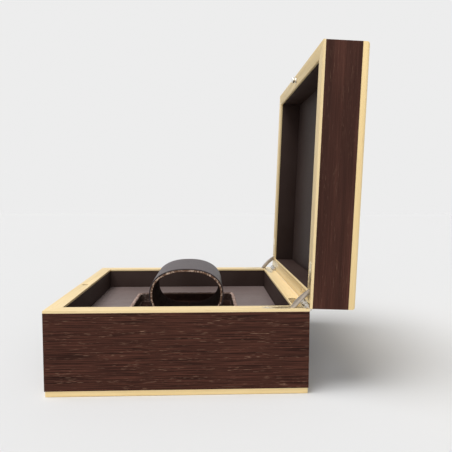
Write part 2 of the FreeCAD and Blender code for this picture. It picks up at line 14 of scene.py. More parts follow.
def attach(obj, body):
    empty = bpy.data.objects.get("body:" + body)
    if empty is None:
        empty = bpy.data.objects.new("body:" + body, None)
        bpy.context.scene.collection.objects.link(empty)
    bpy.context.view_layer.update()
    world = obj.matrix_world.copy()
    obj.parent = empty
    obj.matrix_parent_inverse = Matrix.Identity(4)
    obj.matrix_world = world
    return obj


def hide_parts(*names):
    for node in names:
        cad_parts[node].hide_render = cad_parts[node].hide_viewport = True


MM = 0.001
WELD = 0.002 * MM
SHARP = math.radians(28)
SIDES = ("front", "right", "back", "left")
HANDS = ("right", "left")

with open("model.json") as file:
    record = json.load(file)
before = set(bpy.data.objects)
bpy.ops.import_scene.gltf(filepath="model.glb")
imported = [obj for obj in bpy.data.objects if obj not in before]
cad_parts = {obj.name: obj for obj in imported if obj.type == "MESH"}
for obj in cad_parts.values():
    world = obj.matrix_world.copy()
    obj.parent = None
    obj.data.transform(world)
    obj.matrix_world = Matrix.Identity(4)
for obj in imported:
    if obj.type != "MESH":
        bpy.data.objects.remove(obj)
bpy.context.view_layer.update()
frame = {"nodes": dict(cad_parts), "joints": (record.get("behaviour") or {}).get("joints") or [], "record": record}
nodes = frame["nodes"]

hinge = [joint for joint in frame["joints"] if joint["name"] == "lid_hinge"][0]
open_angle = hinge["range_deg"][0]
lid_turn = Matrix.Rotation(math.radians(open_angle), 4, "X")
lid_frame = Matrix.Translation(hinge["pos_m"]) @ lid_turn

body_of_node = {}
for body_name, members in frame["record"]["behaviour"]["bodies"].items():
    for member in members:
        body_of_node[member] = body_name


def extent(node, turn=Matrix()):
    """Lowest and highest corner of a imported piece, seen in a frame of its own."""
    back = turn.inverted()
    points = [back @ vertex.co for vertex in nodes[node].data.vertices]
    low = Vector([min(point[axis] for point in points) for axis in range(3)])
    high = Vector([max(point[axis] for point in points) for axis in range(3)])
    return low, high


# Shader groups that several finishes share

# A grain band is as wide as this many grain lines
LINES_IN_BAND = 7.0
# Places of the colour sockets among the sockets of a Mix node
MIX_SHARE, MIX_FIRST, MIX_SECOND, MIX_RESULT = 0, 6, 7, 2


def new_group(name, inputs, outputs):
    """An empty shader group with float sockets, a vector first."""
    group = bpy.data.node_groups.new(name, "ShaderNodeTree")
    group.interface.new_socket("Vector", in_out="INPUT", socket_type="NodeSocketVector")
    for label in inputs:
        group.interface.new_socket(label, in_out="INPUT", socket_type="NodeSocketFloat")
    for label in outputs:
        group.interface.new_socket(label, in_out="OUTPUT", socket_type="NodeSocketFloat")
    start = group.nodes.new("NodeGroupInput")
    end = group.nodes.new("NodeGroupOutput")
    return group, start.outputs, end.inputs


def add(tree, kind, **settings):
    """A new node with its settings."""
    item = tree.nodes.new(kind)
    for label, value in settings.items():
        setattr(item, label, value)
    return item


def feed(tree, socket, source):
    """Wire a socket to another, or set its value."""
    if isinstance(source, bpy.types.NodeSocket):
        tree.links.new(source, socket)
    else:
        socket.default_value = source


def math_node(tree, operation, first, second):
    """Two values worked into one."""
    item = add(tree, "ShaderNodeMath", operation=operation)
    feed(tree, item.inputs[0], first)
    feed(tree, item.inputs[1], second)
    return item.outputs[0]


def stretched(tree, vector, along, across):
    """Coordinates counted in features of one length along X and one width across it."""
    scale = add(tree, "ShaderNodeCombineXYZ")
    feed(tree, scale.inputs[0], along)
    feed(tree, scale.inputs[1], across)
    feed(tree, scale.inputs[2], across)
    ratio = add(tree, "ShaderNodeVectorMath", operation="DIVIDE")
    feed(tree, ratio.inputs[0], vector)
    feed(tree, ratio.inputs[1], scale.outputs[0])
    return ratio.outputs[0]


def noise_node(tree, vector, detail=2.0, roughness=0.5, distortion=0.0):
    """Noise with features one unit of the coordinates in size."""
    item = add(tree, "ShaderNodeTexNoise")
    feed(tree, item.inputs["Vector"], vector)
    feed(tree, item.inputs["Scale"], 1.0)
    feed(tree, item.inputs["Detail"], detail)
    feed(tree, item.inputs["Roughness"], roughness)
    feed(tree, item.inputs["Distortion"], distortion)
    return item.outputs[0]


def band(tree, value, low, high):
    """A smooth step from 0 at one value to 1 at another."""
    item = add(tree, "ShaderNodeMapRange", interpolation_type="SMOOTHSTEP")
    feed(tree, item.inputs["Value"], value)
    feed(tree, item.inputs["From Min"], low)
    feed(tree, item.inputs["From Max"], high)
    return item.outputs[0]


def make_grain_group():
    """Straight wood grain along X: soft bands, fine lines and short open pores."""
    inputs = ["Line length", "Line width"]
    group, given, result = new_group("Straight grain", inputs, ["Bands", "Lines", "Pores"])
    vector, length, width = given["Vector"], given["Line length"], given["Line width"]
    wide = math_node(group, "MULTIPLY", width, LINES_IN_BAND)
    long = math_node(group, "MULTIPLY", length, 3.0)
    short = math_node(group, "MULTIPLY", length, 0.16)
    thin = math_node(group, "MULTIPLY", width, 0.6)
    bands = noise_node(group, stretched(group, vector, long, wide), detail=3.0, roughness=0.55)
    lines = noise_node(group, stretched(group, vector, length, width), detail=3.0, roughness=0.65)
    specks = noise_node(group, stretched(group, vector, short, thin), detail=1.0)
    patches = noise_node(group, stretched(group, vector, length, wide))
    open_specks = band(group, specks, 0.63, 0.75)
    open_patches = band(group, patches, 0.38, 0.62)
    feed(group, result["Bands"], band(group, bands, 0.30, 0.70))
    feed(group, result["Lines"], band(group, lines, 0.32, 0.68))
    feed(group, result["Pores"], math_node(group, "MULTIPLY", open_specks, open_patches))
    return group


def make_nap_group():
    """Brushed suede: cloudy patches where the nap lies over, and a short fuzz."""
    group, given, result = new_group("Suede nap", ["Patch size", "Fuzz size"], ["Patches", "Fuzz"])
    vector, patch, fuzz = given["Vector"], given["Patch size"], given["Fuzz size"]
    clouds = noise_node(group, stretched(group, vector, patch, patch), detail=3.0, distortion=0.6)
    hairs = noise_node(group, stretched(group, vector, fuzz, fuzz), detail=4.0, roughness=0.7)
    feed(group, result["Patches"], band(group, clouds, 0.30, 0.70))
    feed(group, result["Fuzz"], band(group, hairs, 0.25, 0.75))
    return group


def make_pebble_group():
    """Pressed leatherette: small uneven pebbles with soft creases between them."""
    group, given, result = new_group("Pressed pebbles", ["Pebble size"], ["Height", "Clouds"])
    vector, size = given["Vector"], given["Pebble size"]
    cells = add(group, "ShaderNodeTexVoronoi", feature="SMOOTH_F1")
    feed(group, cells.inputs["Vector"], stretched(group, vector, size, size))
    feed(group, cells.inputs["Scale"], 1.0)
    cloud_size = math_node(group, "MULTIPLY", size, 40.0)
    clouds = noise_node(group, stretched(group, vector, cloud_size, cloud_size), detail=3.0)
    feed(group, result["Height"], math_node(group, "SUBTRACT", 1.0, cells.outputs["Distance"]))
    feed(group, result["Clouds"], band(group, clouds, 0.3, 0.7))
    return group


def make_brush_group():
    """Drawn marks on metal and cloth: long hairlines along X and faint cloudy smears."""
    inputs = ["Mark length", "Mark width"]
    group, given, result = new_group("Drawn marks", inputs, ["Hairlines", "Smears"])
    vector, length, width = given["Vector"], given["Mark length"], given["Mark width"]
    hairs = noise_node(group, stretched(group, vector, length, width), detail=3.0, roughness=0.7)
    smears = noise_node(group, stretched(group, vector, length, length), distortion=0.5)
    feed(group, result["Hairlines"], band(group, hairs, 0.30, 0.70))
    feed(group, result["Smears"], band(group, smears, 0.35, 0.65))
    return group


def make_wear_and_light_group():
    """Wear and painted light: the share where a piece is marked, which is wear on the wenge and painted sheen and
    light on the suede, and specks that are worn bare on the wenge and painted highlights on the suede.
    """
    group, given, result = new_group("Wear and painted light", ["Speck size", "Amount"], ["Worn", "Bare and highlight"])
    vector, size = given["Vector"], given["Speck size"]
    mark = add(group, "ShaderNodeAttribute", attribute_name="wear_and_painted_light")
    patch = math_node(group, "MULTIPLY", size, 2.0)
    clouds = noise_node(group, stretched(group, vector, patch, patch), detail=3.0, distortion=0.6)
    tufts = noise_node(group, stretched(group, vector, size, size), detail=4.0, roughness=0.7)
    clouded = band(group, clouds, 0.30, 0.70)
    specks = math_node(group, "MULTIPLY", clouded, band(group, tufts, 0.25, 0.75))
    worn = math_node(group, "MULTIPLY", mark.outputs["Fac"], given["Amount"])
    feed(group, result["Worn"], worn)
    feed(group, result["Bare and highlight"], band(group, specks, 0.22, 0.58))
    return group


grain_group = make_grain_group()
nap_group = make_nap_group()
pebble_group = make_pebble_group()
brush_group = make_brush_group()
wear_and_light_group = make_wear_and_light_group()


def use_group(tree, group, vector, **values):
    """Place a shared group in a material; its outputs come back by name."""
    item = add(tree, "ShaderNodeGroup", node_tree=group)
    feed(tree, item.inputs["Vector"], vector)
    for label, value in values.items():
        feed(tree, item.inputs[label.replace("_", " ")], value)
    return item.outputs


def own_coordinates(tree, turn=(0, 0, 0), shift=(0, 0, 0)):
    """Object coordinates, turned to lay a pattern along a piece and shifted so that pieces differ."""
    place = add(tree, "ShaderNodeTexCoord")
    mapping = add(tree, "ShaderNodeMapping")
    feed(tree, mapping.inputs["Vector"], place.outputs["Object"])
    feed(tree, mapping.inputs["Rotation"], turn)
    feed(tree, mapping.inputs["Location"], shift)
    return mapping.outputs[0]


def mixed(tree, share, first, second):
    """A second colour over a first by a share."""
    item = add(tree, "ShaderNodeMix", data_type="RGBA")
    feed(tree, item.inputs[MIX_SHARE], share)
    for place, colour in ((MIX_FIRST, first), (MIX_SECOND, second)):
        wired = isinstance(colour, bpy.types.NodeSocket)
        feed(tree, item.inputs[place], colour if wired else (*colour, 1.0))
    return item.outputs[MIX_RESULT]


def mixed_by(tree, pattern, amount, first, second):
    """A second colour over a first by an amount of a pattern."""
    return mixed(tree, math_node(tree, "MULTIPLY", pattern, amount), first, second)


def ranged(tree, value, low, high):
    """A value from 0 to 1 spread between two others."""
    item = add(tree, "ShaderNodeMapRange")
    feed(tree, item.inputs["Value"], value)
    feed(tree, item.inputs["To Min"], low)
    feed(tree, item.inputs["To Max"], high)
    return item.outputs[0]


def new_finish(name, colour):
    """A material with its Principled shader; the plain colour is for solid views."""
    material = bpy.data.materials.new(name)
    material.use_nodes = True
    material.diffuse_color = (*colour, 1.0)
    tree = material.node_tree
    return material, tree, tree.nodes["Principled BSDF"].inputs


def bumped(tree, shader, height, distance):
    """Raise the surface by a height pattern."""
    bump = add(tree, "ShaderNodeBump")
    feed(tree, bump.inputs["Height"], height)
    feed(tree, bump.inputs["Distance"], distance)
    feed(tree, bump.inputs["Strength"], 1.0)
    feed(tree, shader["Normal"], bump.outputs[0])


# Wood: dark wenge walls and pale maple edging

# The base's veneer has strong lines and pale flecks, the lid's is quieter with broad soft bands
BASE_VENEER = {
    "deep": (0.011, 0.0033, 0.0020), "light": (0.090, 0.0315, 0.0200), "flecks": 0.70,
    "band": (0.040, 0.0145, 0.0098), "band_share": 0.2, "band_width": 4.2 * MM,
}
LID_VENEER = {
    "deep": (0.0510, 0.0187, 0.0127), "light": (0.0830, 0.0306, 0.0208), "flecks": 0.22,
    "band": (0.0300, 0.0110, 0.0075), "band_share": 0.8, "band_width": 9 * MM,
}
WENGE_PLAIN = (0.07, 0.03, 0.025)
WENGE_FLECK = (0.30, 0.175, 0.115)
WENGE_RUBBED = (0.30, 0.18, 0.12)
WENGE_BARE = (0.66, 0.52, 0.40)
WENGE_LINE_LENGTH = 42 * MM
WENGE_LINE_WIDTH = 0.6 * MM
EDGING_PALE = (0.85, 0.68, 0.40)
EDGING_DEEP = (0.77, 0.58, 0.30)
BOARD_PALE = (0.84, 0.65, 0.345)
BOARD_DEEP = (0.76, 0.555, 0.255)
MAPLE_FLECK = (0.50, 0.33, 0.16)


def grain_turn(along_y, on_lid):
    """The turn that lays the grain along a piece."""
    tilt = math.radians(-open_angle) if on_lid else 0.0
    return (tilt, 0.0, math.radians(-90) if along_y else 0.0)


def wenge(name, along_y, on_lid, shift):
    """Dark veneer: fine lines, broader bands, pale flecks in the pores and worn edges."""
    look = LID_VENEER if on_lid else BASE_VENEER
    material, tree, shader = new_finish(name, WENGE_PLAIN)
    place = own_coordinates(tree, grain_turn(along_y, on_lid), shift)
    grain = use_group(
        tree, grain_group, place, Line_length=WENGE_LINE_LENGTH, Line_width=WENGE_LINE_WIDTH)
    broad = use_group(
        tree, grain_group, place, Line_length=WENGE_LINE_LENGTH,
        Line_width=look["band_width"] / LINES_IN_BAND)
    lined = mixed(tree, grain["Lines"], look["deep"], look["light"])
    banded = mixed_by(tree, broad["Bands"], look["band_share"], lined, look["band"])
    flecked = mixed_by(tree, grain["Pores"], look["flecks"], banded, WENGE_FLECK)
    worn_and_lit = use_group(tree, wear_and_light_group, place, Speck_size=1.4 * MM, Amount=0.75)
    edge = mixed(tree, worn_and_lit["Bare and highlight"], WENGE_RUBBED, WENGE_BARE)
    feed(tree, shader["Base Color"], mixed(tree, worn_and_lit["Worn"], flecked, edge))
    feed(tree, shader["Roughness"], ranged(tree, grain["Lines"], 0.62, 0.5))
    feed(tree, shader["Specular IOR Level"], 0.08)
    height = math_node(tree, "SUBTRACT", grain["Lines"], grain["Pores"])
    bumped(tree, shader, height, 0.05 * MM)
    return material


def maple(name, along_y, on_lid, shift, pale, deep):
    """Pale edging or board with a faint grain."""
    material, tree, shader = new_finish(name, pale)
    place = own_coordinates(tree, grain_turn(along_y, on_lid), shift)
    grain = use_group(tree, grain_group, place, Line_length=60 * MM, Line_width=1.6 * MM)
    lined = mixed_by(tree, grain["Lines"], 0.55, pale, deep)
    banded = mixed_by(tree, grain["Bands"], 0.4, lined, deep)
    flecked = mixed_by(tree, grain["Pores"], 0.3, banded, MAPLE_FLECK)
    feed(tree, shader["Base Color"], flecked)
    feed(tree, shader["Roughness"], ranged(tree, grain["Lines"], 0.42, 0.55))
    feed(tree, shader["Specular IOR Level"], 0.12)
    bumped(tree, shader, grain["Lines"], 0.02 * MM)
    return material


def raw_board(name, pale, deep):
    """Unfinished fibreboard or card that only shows when the box is taken apart."""
    material, tree, shader = new_finish(name, pale)
    nap = use_group(
        tree, nap_group, own_coordinates(tree), Patch_size=6 * MM, Fuzz_size=0.5 * MM)
    feed(tree, shader["Base Color"], mixed(tree, nap["Fuzz"], pale, deep))
    feed(tree, shader["Roughness"], ranged(tree, nap["Patches"], 0.75, 0.9))
    bumped(tree, shader, nap["Fuzz"], 0.05 * MM)
    return material


wood_finish = {}
for on_lid, part in ((False, "base"), (True, "lid")):
    for number, side in enumerate(SIDES):
        along_y = side in HANDS
        shift = (0.31 * number, 0.17 * number + 0.4 * on_lid, 0.23 * number)
        wood_finish[f"{part}_wall_{side}"] = wenge(f"Wenge {part} {side}", along_y, on_lid, shift)
        wood_finish[f"{part}_rim_{side}"] = maple(
            f"Maple edging {part} {side}", along_y, on_lid, shift, EDGING_PALE, EDGING_DEEP)
wood_finish["bottom_plate"] = maple(
    "Maple bottom board", True, False, (0.05, 0.6, 0.2), BOARD_PALE, BOARD_DEEP)
wood_finish["lid_top_plate"] = maple(
    "Maple lid board", True, True, (0.4, 0.1, 0.7), BOARD_PALE, BOARD_DEEP)
board_finish = raw_board("Raw fibreboard", pale=(0.36, 0.25, 0.15), deep=(0.27, 0.18, 0.10))
card_finish = raw_board("Raw card", pale=(0.44, 0.34, 0.23), deep=(0.35, 0.26, 0.17))


# Coverings: leatherette, satin cloth, suede and the cuff's plastic


def leatherette(name, deep, pale, pebble, rough, gloss):
    """Pressed leatherette, smoother on its pebbles than in the creases."""
    material, tree, shader = new_finish(name, deep)
    pebbles = use_group(tree, pebble_group, own_coordinates(tree), Pebble_size=pebble)
    feed(tree, shader["Base Color"], mixed(tree, pebbles["Clouds"], deep, pale))
    feed(tree, shader["Roughness"], ranged(tree, pebbles["Height"], rough + 0.12, rough - 0.06))
    feed(tree, shader["Specular IOR Level"], gloss)
    bumped(tree, shader, pebbles["Height"], 0.03 * MM)
    return material


def suede(name, deep, pale, wear_and_painted_light, bare_and_highlight):
    """Suede with a short nap; where it is marked it is painted paler, for wear, painted sheen and painted light,
    with pale specks that are painted highlights and bare spots.
    """
    material, tree, shader = new_finish(name, deep)
    place = own_coordinates(tree)
    nap = use_group(tree, nap_group, place, Patch_size=5 * MM, Fuzz_size=0.45 * MM)
    worn_and_lit = use_group(tree, wear_and_light_group, place, Speck_size=1.1 * MM, Amount=1.0)
    share = math_node(tree, "MULTIPLY", nap["Patches"], ranged(tree, nap["Fuzz"], 0.5, 1.0))
    brushed = mixed(tree, share, deep, pale)
    # Marked places are painted paler brown: wear, painted sheen and painted light, with pale painted highlight
    # specks
    edge = mixed(tree, worn_and_lit["Bare and highlight"], wear_and_painted_light, bare_and_highlight)
    feed(tree, shader["Base Color"], mixed(tree, worn_and_lit["Worn"], brushed, edge))
    feed(tree, shader["Roughness"], ranged(tree, nap["Fuzz"], 0.8, 0.95))
    feed(tree, shader["Specular IOR Level"], 0.03)
    feed(tree, shader["Sheen Weight"], 0.02)
    feed(tree, shader["Sheen Roughness"], 0.4)
    feed(tree, shader["Sheen Tint"], (0.8, 0.55, 0.42, 1.0))
    bumped(tree, shader, nap["Fuzz"], 0.12 * MM)
    return material


def satin(name, deep, pale, rough):
    """Satin cloth: a close weave of fine ribs with faint drawn lines along Y."""
    material, tree, shader = new_finish(name, deep)
    place = own_coordinates(tree, (0, 0, math.radians(90)))
    drawn = use_group(tree, brush_group, place, Mark_length=45 * MM, Mark_width=3.5 * MM)
    ribs = use_group(tree, brush_group, place, Mark_length=4 * MM, Mark_width=0.35 * MM)
    tone = mixed(tree, drawn["Hairlines"], deep, pale)
    feed(tree, shader["Base Color"], mixed_by(tree, ribs["Hairlines"], 0.25, tone, pale))
    feed(tree, shader["Roughness"], ranged(tree, drawn["Smears"], rough - 0.05, rough + 0.08))
    feed(tree, shader["Specular IOR Level"], 0.4)
    bumped(tree, shader, ribs["Hairlines"], 0.03 * MM)
    return material


def plastic(name, pale, deep):
    """Moulded plastic with a fine even texture."""
    material, tree, shader = new_finish(name, pale)
    pebbles = use_group(tree, pebble_group, own_coordinates(tree), Pebble_size=0.4 * MM)
    feed(tree, shader["Base Color"], mixed(tree, pebbles["Clouds"], pale, deep))
    feed(tree, shader["Roughness"], ranged(tree, pebbles["Height"], 0.6, 0.45))
    bumped(tree, shader, pebbles["Height"], 0.01 * MM)
    return material


lining_finish = leatherette(
    "Leatherette lining", deep=(0.036, 0.0215, 0.018), pale=(0.044, 0.028, 0.024),
    pebble=0.9 * MM, rough=0.55, gloss=0.08)
panel_finish = leatherette(
    "Leatherette lid panel", deep=(0.037, 0.0245, 0.0215), pale=(0.044, 0.030, 0.0265),
    pebble=0.8 * MM, rough=0.5, gloss=0.08)
cuff_finish = leatherette(
    "Leatherette cuff", deep=(0.046, 0.0325, 0.035), pale=(0.056, 0.040, 0.0435),
    pebble=0.7 * MM, rough=0.42, gloss=0.24)
tray_finish = satin(
    "Satin tray", deep=(0.134, 0.098, 0.091), pale=(0.168, 0.127, 0.119), rough=0.42)
# The well's suede is kept dark partly as painted shade under the cuff; its lip is painted pale for sheen and wear
well_suede_and_shade = suede(
    "Suede well with painted shade", deep=(0.017, 0.0082, 0.0065), pale=(0.031, 0.0150, 0.0115),
    wear_and_painted_light=(0.32, 0.215, 0.178), bare_and_highlight=(0.72, 0.57, 0.50))
# The liner's ends are painted tan: partly its raw cut edge, partly painted sheen
liner_finish = suede(
    "Suede cuff liner", deep=(0.013, 0.0058, 0.0045), pale=(0.022, 0.0100, 0.0080),
    wear_and_painted_light=(0.17, 0.095, 0.062), bare_and_highlight=(0.74, 0.56, 0.44))
core_finish = plastic(
    "Cuff core plastic", pale=(0.030, 0.026, 0.024), deep=(0.024, 0.0208, 0.0192))


# Metal: brass leaves, steel struts, nickel screws and catch

HAIRLINE_LENGTH = 12 * MM
HAIRLINE_WIDTH = 0.12 * MM
HAIRLINE_DEPTH = 0.004 * MM
SMEAR_SHARE = 0.6
KNUCKLE_REACH = 2.7 * MM
KNUCKLE_BLEND = 0.3 * MM
KNUCKLE_POLISH = 0.2


def polishing_marks(tree, place):
    """The marks that polishing leaves on every metal piece."""
    return use_group(
        tree, brush_group, place, Mark_length=HAIRLINE_LENGTH, Mark_width=HAIRLINE_WIDTH)


def metal(name, bright, dull, smooth, rough):
    """Metal with polishing marks and faint handling smears."""
    material, tree, shader = new_finish(name, bright)
    marks = polishing_marks(tree, own_coordinates(tree))
    feed(tree, shader["Base Color"], mixed_by(tree, marks["Smears"], SMEAR_SHARE, bright, dull))
    feed(tree, shader["Roughness"], ranged(tree, marks["Hairlines"], smooth, rough))
    feed(tree, shader["Metallic"], 1.0)
    bumped(tree, shader, marks["Hairlines"], HAIRLINE_DEPTH)
    return material


def leaf_metal(name, bright, dull, smooth, rough, polished):
    """Brass leaf whose knuckles, close to the hinge line, are polished nickel."""
    material, tree, shader = new_finish(name, bright)
    place = own_coordinates(tree, shift=[-part for part in hinge["pos_m"]])
    marks = polishing_marks(tree, place)
    across = add(tree, "ShaderNodeVectorMath", operation="MULTIPLY")
    feed(tree, across.inputs[0], place)
    feed(tree, across.inputs[1], (0.0, 1.0, 1.0))
    away = add(tree, "ShaderNodeVectorMath", operation="LENGTH")
    feed(tree, away.inputs[0], across.outputs[0])
    past_knuckle = band(tree, away.outputs["Value"], KNUCKLE_REACH, KNUCKLE_REACH + KNUCKLE_BLEND)
    knuckle = math_node(tree, "SUBTRACT", 1.0, past_knuckle)
    flat = mixed_by(tree, marks["Smears"], SMEAR_SHARE, bright, dull)
    feed(tree, shader["Base Color"], mixed(tree, knuckle, flat, polished))
    brushed = ranged(tree, marks["Hairlines"], smooth, rough)
    polish = math_node(tree, "MULTIPLY", knuckle, KNUCKLE_POLISH)
    feed(tree, shader["Roughness"], math_node(tree, "SUBTRACT", brushed, polish))
    feed(tree, shader["Metallic"], 1.0)
    bumped(tree, shader, marks["Hairlines"], HAIRLINE_DEPTH)
    return material


leaf_finish = leaf_metal(
    "Brass hinge leaf", bright=(0.90, 0.77, 0.50), dull=(0.80, 0.65, 0.38),
    smooth=0.24, rough=0.38, polished=(0.52, 0.48, 0.42))
strut_finish = metal(
    "Brushed steel strut", bright=(0.29, 0.25, 0.21), dull=(0.22, 0.185, 0.155),
    smooth=0.26, rough=0.44)
pin_finish = metal(
    "Steel hinge pin", bright=(0.58, 0.55, 0.50), dull=(0.48, 0.45, 0.41), smooth=0.2, rough=0.34)
screw_finish = metal(
    "Nickel screw", bright=(0.86, 0.78, 0.60), dull=(0.74, 0.66, 0.50), smooth=0.2, rough=0.34)
catch_finish = metal(
    "Nickel catch", bright=(0.80, 0.77, 0.71), dull=(0.70, 0.67, 0.61), smooth=0.08, rough=0.18)
magnet_finish = metal(
    "Plated magnet", bright=(0.55, 0.55, 0.56), dull=(0.45, 0.45, 0.46), smooth=0.25, rough=0.4)


# Hard pieces and linings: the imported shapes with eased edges


def finished(name, shape, finish, node):
    """Turn a bmesh into the piece that stands for a packed one and rides on its body."""
    mesh = bpy.data.meshes.new(name)
    shape.to_mesh(mesh)
    shape.free()
    for polygon in mesh.polygons:
        polygon.use_smooth = True
    mesh.set_sharp_from_angle(angle=SHARP)
    mesh.materials.append(finish)
    piece = bpy.data.objects.new(name, mesh)
    bpy.context.scene.collection.objects.link(piece)
    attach(piece, body_of_node[node])
    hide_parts(node)


def eased(node, finish, width, segments=2):
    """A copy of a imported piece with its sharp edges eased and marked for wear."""
    shape = bmesh.new()
    shape.from_mesh(nodes[node].data)
    bmesh.ops.remove_doubles(shape, verts=shape.verts, dist=WELD)
    bmesh.ops.dissolve_limit(
        shape, angle_limit=math.radians(0.5), verts=shape.verts, edges=shape.edges)
    sharp = [edge for edge in shape.edges if edge.is_manifold and edge.calc_face_angle() > SHARP]
    wear_and_painted_light = shape.faces.layers.float.new("wear_and_painted_light")
    made = bmesh.ops.bevel(
        shape, geom=sharp, offset=width, offset_type="OFFSET", affect="EDGES",
        segments=segments, profile=0.5, material=-1, clamp_overlap=True)
    for face in made["faces"]:
        face[wear_and_painted_light] = 1.0
    finished(f"{node}_eased", shape, finish, node)


for node, finish in wood_finish.items():
    eased(node, finish, width=0.35 * MM if node.startswith("lid_wall") else 0.25 * MM)
for part in ("base", "lid"):
    for side in SIDES:
        eased(f"{part}_lining_{side}", lining_finish, width=0.3 * MM)
    for hand in HANDS:
        eased(f"hinge_{part}_leaf_{hand}", leaf_finish, width=0.12 * MM)
    eased(f"{part}_hinge_screws", screw_finish, width=0.05 * MM)
for hand in HANDS:
    eased(f"quadrant_strut_{hand}", strut_finish, width=0.2 * MM)
    eased(f"hinge_pin_{hand}", pin_finish, width=0.15 * MM)
eased("catch_stud", catch_finish, width=0.25 * MM, segments=3)
eased("catch_ferrule", catch_finish, width=0.2 * MM, segments=3)
eased("catch_magnet", magnet_finish, width=0.2 * MM)
for side in SIDES:
    eased(f"tray_riser_{side}", board_finish, width=0.2 * MM)
eased("lid_panel_spacer", board_finish, width=0.2 * MM)
eased("well_support_block", card_finish, width=0.3 * MM)


# Soft pieces: the covered boards, the well and the cuff

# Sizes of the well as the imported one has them, and its play in the tray
WELL_WALL = 1.6 * MM
WELL_CORNER = 4.0 * MM
WELL_BOTTOM = 1.5 * MM
LIP_REACH = 3.2 * MM
TRAY_PLAY = 0.3 * MM
# How the suede is formed over the tub
WELL_COVE = 1.2 * MM
CORNER_SEGMENTS = 10
SIDE_CUTS = 70
LIP_STEPS = 8
LIP_OVER_TRAY = 0.05 * MM
LIP_LUMPS = 0.42 * MM
# The cuff shades the well as far as this from its middle, and the painted light beside it fades in over the next
# stretch
CUFF_SHADOW_REACH = 26 * MM
SHADOW_EDGE_FADE = 10 * MM
# Rolled edges of the covered boards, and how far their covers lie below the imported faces
COVER_ROLL = 0.7 * MM
COVER_SINK = 0.04 * MM
HOLE_CUTS = 24
# Where the tray's satin wrinkles, how far round that place and how high
WRINKLE_X = -62 * MM
WRINKLE_Y = -66 * MM
WRINKLE_REACH = 34 * MM
WRINKLE_HEIGHT = 0.35 * MM
# The cuff's oval, its slit and the steps along it
OVAL_POWER = 2.3
OVAL_SEGMENTS = 144
SLIT_HALF = 0.7 * MM
STRIP_STEPS = 16


def round_the_corner(point, core_x, core_y):
    """Outward direction in plan at a point of a rounded rectangle."""
    nearest_x = min(max(point.x, -core_x), core_x)
    nearest_y = min(max(point.y, -core_y), core_y)
    away = Vector((point.x, point.y, 0.0)) - Vector((nearest_x, nearest_y, 0.0))
    return away.normalized()


def swept_edge(shape, edges, core_x, core_y, steps):
    """Extrude a closed edge loop step by step, each step by so much outwards and upwards."""
    for outwards, upwards in steps:
        made = bmesh.ops.extrude_edge_only(shape, edges=edges)["geom"]
        edges = [item for item in made if isinstance(item, bmesh.types.BMEdge) and item.is_boundary]
        for vertex in [item for item in made if isinstance(item, bmesh.types.BMVert)]:
            vertex.co += outwards * round_the_corner(vertex.co, core_x, core_y)
            vertex.co.z += upwards
    return edges


def rolled(radius, pieces=4):
    """Steps over a quarter round, from level to straight down."""
    angles = [math.pi / 2 * piece / pieces for piece in range(pieces + 1)]
    return [
        (radius * (math.sin(after) - math.sin(before)), radius * (math.cos(after) - math.cos(before)))
        for before, after in zip(angles, angles[1:])
    ]


def cut_rounded_hole(shape, core, radius):
    """Cut a square hole with rounded corners, by straight cuts all round it."""
    cuts = []
    for step in range(HOLE_CUTS):
        angle = math.radians(360 / HOLE_CUTS * step)
        outward = Vector((math.cos(angle), math.sin(angle), 0.0))
        reach = core * (abs(outward.x) + abs(outward.y)) + radius
        cuts.append((outward, reach))
        everything = shape.verts[:] + shape.edges[:] + shape.faces[:]
        bmesh.ops.bisect_plane(
            shape, geom=everything, dist=WELD, plane_co=reach * outward, plane_no=outward)
    inside = []
    for face in shape.faces:
        centre = face.calc_center_median()
        if all(outward.dot(centre) < reach for outward, reach in cuts):
            inside.append(face)
    bmesh.ops.delete(shape, geom=inside, context="FACES")


def covered_board(half_x, half_y, depth, cell, uneven, hole_core=0.0, hole_radius=0.0):
    """A board under drawn cloth: its top at zero height, with rolled edges and a hole where wanted."""
    shape = bmesh.new()
    flat_x, flat_y = half_x - COVER_ROLL, half_y - COVER_ROLL
    cells_x, cells_y = round(2 * flat_x / cell), round(2 * flat_y / cell)
    bmesh.ops.create_grid(shape, x_segments=cells_x, y_segments=cells_y, size=1.0)
    bmesh.ops.scale(shape, vec=(flat_x, flat_y, 1.0), verts=shape.verts)
    if hole_core:
        cut_rounded_hole(shape, hole_core, hole_radius + COVER_ROLL)
    for vertex in shape.verts:
        vertex.co.z += uneven(vertex.co.x, vertex.co.y)
    rim, brim = [], []
    for edge in [edge for edge in shape.edges if edge.is_boundary]:
        end = edge.verts[0].co
        outside = max(abs(end.x) - flat_x, abs(end.y) - flat_y) > -WELD
        (rim if outside else brim).append(edge)
    straight = [(0.0, COVER_ROLL - depth)]
    over = rolled(COVER_ROLL)
    low = swept_edge(shape, rim, flat_x - COVER_ROLL, flat_y - COVER_ROLL, over + straight)
    if brim:
        inwards = [(-outwards, upwards) for outwards, upwards in over]
        low += swept_edge(shape, brim, hole_core, hole_core, inwards + straight)
        bmesh.ops.bridge_loops(shape, edges=low)
    else:
        bmesh.ops.edgeloop_fill(shape, edges=low)
    bmesh.ops.recalc_face_normals(shape, faces=shape.faces)
    return shape


def drawn_cloth(x, y):
    """Satin drawn over the tray board, with a few wrinkles near its front left corner."""
    level = 0.06 * MM * noise.noise(Vector((x, y, 0.0)) / (22 * MM))
    near_corner = max(0.0, 1.0 - math.hypot(x - WRINKLE_X, y - WRINKLE_Y) / WRINKLE_REACH)
    wrinkle = noise.noise(Vector((x / (5 * MM), y / (38 * MM), 4.0)))
    return level + WRINKLE_HEIGHT * near_corner * wrinkle - COVER_SINK


def padded_lid(x, y):
    """Leatherette drawn over the lid's panel, barely uneven."""
    return 0.05 * MM * noise.noise(Vector((x, y, 9.0)) / (30 * MM)) - COVER_SINK


